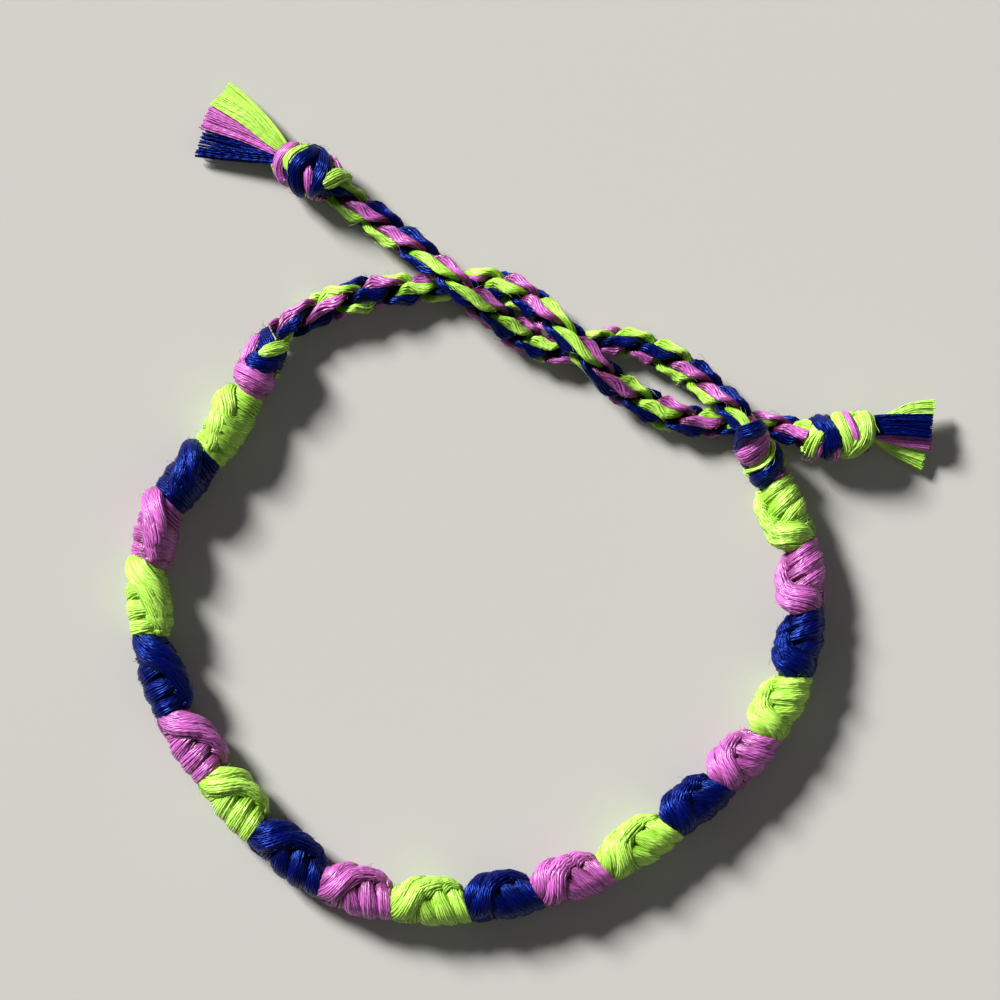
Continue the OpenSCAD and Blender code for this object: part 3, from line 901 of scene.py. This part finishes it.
class Wiring:
    """Short ways to add the nodes of a shader tree and to link them."""

    def __init__(self, tree):
        self.node = tree.nodes.new
        self.link = tree.links.new

    def maths(self, operation, *values):
        """Result of a maths node, whose values are numbers or results of other nodes."""
        made = self.node("ShaderNodeMath")
        made.operation = operation
        for socket, value in zip(made.inputs, values):
            if isinstance(value, (int, float)):
                socket.default_value = value
            else:
                self.link(value, socket)
        return made.outputs["Value"]

    def attribute(self, name, output="Fac"):
        made = self.node("ShaderNodeAttribute")
        made.attribute_name = name
        return made.outputs[output]

    def noise(self, place, scale, detail):
        made = self.node("ShaderNodeTexNoise")
        made.inputs["Scale"].default_value = scale
        made.inputs["Detail"].default_value = detail
        self.link(place, made.inputs["Vector"])
        return made.outputs["Fac"]

    def mix(self, share, first, second):
        """A colour between two others."""
        made = self.node("ShaderNodeMix")
        made.data_type = "RGBA"
        self.link(share, made.inputs["Factor"])
        self.link(first, made.inputs[MIX_FIRST_COLOUR])
        self.link(second, made.inputs[MIX_SECOND_COLOUR])
        return made.outputs[MIX_RESULT_COLOUR]


# A thread's yarns: how many it has, the length of one turn of them in metres, and how far chance shifts them
YARNS = 2
YARN_TURN = 0.0009
CHANCE_SHIFT = 60
# Noise for the fibres and for the streaks along a thread: scale and detail, and how far the pattern of the
# streaks moves on in a metre
FIBRE_NOISE = (900, 3)
STREAK_NOISE = (2.2, 2)
STREAK_CHANGE = 450
# How much the yarns, the fibres and the streaks stand out, and the scale of the bump in metres
YARN_HEIGHT = 0.5
FIBRE_HEIGHT = 0.4
STREAK_HEIGHT = 1.6
BUMP_STRENGTH = 0.5
BUMP_DISTANCE = 0.00005
# How much each lightens a thread, from its deep to its bright colour. The yarns' share is painted shade in
# the grooves between them.
SHADE_TONE = 0.2
FIBRE_TONE = 0.3
STREAK_TONE = 0.6
YARN_GROOVE_SHADE = 0.15
TONE_CONTRAST = 1.8
TONE_SHIFT = -0.45
# Roughness where a thread is smoothest, how much the streaks add, and the roughness of the fuzz
SMOOTHEST = 0.22
STREAK_ROUGHNESS = 0.3
SHEEN_ROUGHNESS = 0.4

# Sockets of the look: its two colours with the values they start from, and what it puts out. The deep colour
# is the dark end of a thread's random tone and also the colour of its painted shade.
LOOK_INPUTS = [("Bright", (0.5, 0.5, 0.5, 1)), ("Deep and shaded", (0.1, 0.1, 0.1, 1))]
LOOK_OUTPUTS = [("Color", "NodeSocketColor"), ("Height", "NodeSocketFloat"), ("Roughness", "NodeSocketFloat")]


def thread_look():
    """Shared look of a thread: its shade at random and its painted shade, its two twisted yarns and its wear.
    """
    group = bpy.data.node_groups.new("floss_thread", "ShaderNodeTree")
    for name, value in LOOK_INPUTS:
        group.interface.new_socket(name, in_out="INPUT", socket_type="NodeSocketColor").default_value = value
    for name, kind in LOOK_OUTPUTS:
        group.interface.new_socket(name, in_out="OUTPUT", socket_type=kind)
    wiring = Wiring(group)
    maths = wiring.maths
    given = wiring.node("NodeGroupInput")
    out = wiring.node("NodeGroupOutput")

    along = wiring.attribute("along")
    shade = wiring.attribute("shade")
    around = wiring.node("ShaderNodeSeparateXYZ")
    wiring.link(wiring.attribute("around", "Vector"), around.inputs["Vector"])
    angle = maths("ARCTAN2", around.outputs["Y"], around.outputs["X"])
    chance = maths("MULTIPLY", shade, CHANCE_SHIFT)
    phase = maths("MULTIPLY_ADD", shade, CHANCE_SHIFT, maths("MULTIPLY", angle, YARNS))
    phase = maths("MULTIPLY_ADD", along, 2 * math.pi / YARN_TURN, phase)
    yarns = maths("MULTIPLY_ADD", maths("SINE", phase), YARN_HEIGHT, YARN_HEIGHT)
    fibres = wiring.noise(wiring.node("ShaderNodeTexCoord").outputs["Object"], *FIBRE_NOISE)
    place = wiring.node("ShaderNodeCombineXYZ")
    wiring.link(around.outputs["X"], place.inputs["X"])
    wiring.link(around.outputs["Y"], place.inputs["Y"])
    wiring.link(maths("MULTIPLY_ADD", along, STREAK_CHANGE, chance), place.inputs["Z"])
    streaks = wiring.noise(place.outputs["Vector"], *STREAK_NOISE)

    height = maths("MULTIPLY_ADD", fibres, FIBRE_HEIGHT, yarns)
    height = maths("MULTIPLY_ADD", streaks, STREAK_HEIGHT, height)
    tone = maths("MULTIPLY_ADD", shade, SHADE_TONE, maths("MULTIPLY", fibres, FIBRE_TONE))
    tone = maths("MULTIPLY_ADD", streaks, STREAK_TONE, tone)
    # Painted shade in the grooves between the twisted yarns
    tone = maths("MULTIPLY_ADD", yarns, YARN_GROOVE_SHADE, tone)
    tone = maths("MULTIPLY_ADD", tone, TONE_CONTRAST, TONE_SHIFT)
    # Painted shade: the deeper a thread lies in shade, the nearer its colour comes to the deep colour
    tone = maths("MULTIPLY", tone, maths("SUBTRACT", 1, wiring.attribute("painted_shade")))
    wiring.link(wiring.mix(tone, given.outputs["Deep and shaded"], given.outputs["Bright"]), out.inputs["Color"])
    wiring.link(height, out.inputs["Height"])
    wiring.link(maths("MULTIPLY_ADD", streaks, STREAK_ROUGHNESS, SMOOTHEST), out.inputs["Roughness"])
    return group


THREAD_LOOK = thread_look()


def floss(name, bright, deep_and_shaded, shine, gloss, bloom):
    """Cotton floss that shines in its own colour. Gloss is its strength, and bloom the light of its fuzz."""
    material = bpy.data.materials.new(name)
    material.use_nodes = True
    wiring = Wiring(material.node_tree)
    surface = material.node_tree.nodes["Principled BSDF"]
    look = wiring.node("ShaderNodeGroup")
    look.node_tree = THREAD_LOOK
    look.inputs["Bright"].default_value = (*bright, 1)
    look.inputs["Deep and shaded"].default_value = (*deep_and_shaded, 1)
    bump = wiring.node("ShaderNodeBump")
    bump.inputs["Strength"].default_value = BUMP_STRENGTH
    bump.inputs["Distance"].default_value = BUMP_DISTANCE
    wiring.link(look.outputs["Height"], bump.inputs["Height"])
    wiring.link(look.outputs["Color"], surface.inputs["Base Color"])
    wiring.link(look.outputs["Roughness"], surface.inputs["Roughness"])
    wiring.link(bump.outputs["Normal"], surface.inputs["Normal"])
    surface.inputs["Specular IOR Level"].default_value = gloss
    surface.inputs["Specular Tint"].default_value = (*shine, 1)
    surface.inputs["Sheen Weight"].default_value = bloom
    surface.inputs["Sheen Roughness"].default_value = SHEEN_ROUGHNESS
    surface.inputs["Sheen Tint"].default_value = (*shine, 1)
    return material


# Each floss: its bright colour, its deep colour that also serves as painted shade, its shine, gloss and bloom
MATERIALS = {
    LIME: floss(
        "lime_cotton_floss", bright=(0.56, 0.90, 0.15), deep_and_shaded=(0.20, 0.46, 0.012),
        shine=(0.85, 1.0, 0.5), gloss=0.8, bloom=0.06,
    ),
    BLUE: floss(
        "blue_cotton_floss", bright=(0.0004, 0.0020, 0.10), deep_and_shaded=(0.0001, 0.0002, 0.008),
        shine=(0.06, 0.17, 1.0), gloss=1.0, bloom=0.0,
    ),
    PINK: floss(
        "pink_cotton_floss", bright=(0.70, 0.17, 0.62), deep_and_shaded=(0.09, 0.002, 0.045),
        shine=(1.0, 0.66, 1.0), gloss=1.0, bloom=0.06,
    ),
}

# The room, in metres: a pale floor, and lamps with their place, size and power in watts
FLOOR_SIZE = 4
FLOOR_COLOUR = (0.47, 0.455, 0.425, 1)
FLOOR_ROUGHNESS = 0.9
ROOM_COLOUR = (0.95, 0.97, 1.0, 1)
ROOM_LIGHT = 0.075
LAMPS = {
    "window": ((-9.2, 8.8, 7.6), 3.36, 5300),
    "bounce": ((0.5, -0.3, 0.5), 0.6, 0.5),
}
# The camera looks straight down on a square of the bracelet's level, from far away with a long lens
LENS = 200
SENSOR_WIDTH = 36
NEAREST_SEEN = 0.01
VIEW_MIDDLE = (-0.00295, 0.00033)
VIEW_WIDTH = 0.1
VIEW_LEVEL = 0.00225


def floor():
    """The plain pale floor."""
    bpy.ops.mesh.primitive_plane_add(size=FLOOR_SIZE)
    plane = bpy.context.object
    plane.name = "floor"
    paint = bpy.data.materials.new("pale_floor")
    paint.use_nodes = True
    surface = paint.node_tree.nodes["Principled BSDF"]
    surface.inputs["Base Color"].default_value = FLOOR_COLOUR
    surface.inputs["Roughness"].default_value = FLOOR_ROUGHNESS
    plane.data.materials.append(paint)


def light():
    """A large soft light from the upper left, a weak one from the other side and the light of the room."""
    world = bpy.data.worlds.new("room")
    world.use_nodes = True
    background = world.node_tree.nodes["Background"]
    background.inputs["Color"].default_value = ROOM_COLOUR
    background.inputs["Strength"].default_value = ROOM_LIGHT
    bpy.context.scene.world = world
    for name, (place, size, power) in LAMPS.items():
        data = bpy.data.lights.new(name, "AREA")
        data.size = size
        data.energy = power
        lamp = bpy.data.objects.new(name, data)
        lamp.location = place
        lamp.rotation_euler = (-lamp.location.normalized()).to_track_quat("-Z", "Y").to_euler()
        bpy.context.scene.collection.objects.link(lamp)


def camera():
    """The camera straight above, as in the photo."""
    scene = bpy.context.scene
    data = bpy.data.cameras.new("above")
    data.lens = LENS
    data.sensor_width = SENSOR_WIDTH
    data.clip_start = NEAREST_SEEN
    above = bpy.data.objects.new("above", data)
    above.location = (*VIEW_MIDDLE, VIEW_WIDTH * data.lens / data.sensor_width + VIEW_LEVEL)
    scene.collection.objects.link(above)
    scene.camera = above
    scene.view_settings.view_transform = "Standard"


floor()
light()
camera()
for i in range(len(JOINTS) - 1):
    run(i)
for seed, name in enumerate(PLIES, PLY_SEED):
    tie_ply(name, seed)
for seed, name in enumerate(KNOTS, KNOT_SEED):
    knot(name, seed)
for seed, name in enumerate(TASSELS, TASSEL_SEED):
    tassel(name, seed)
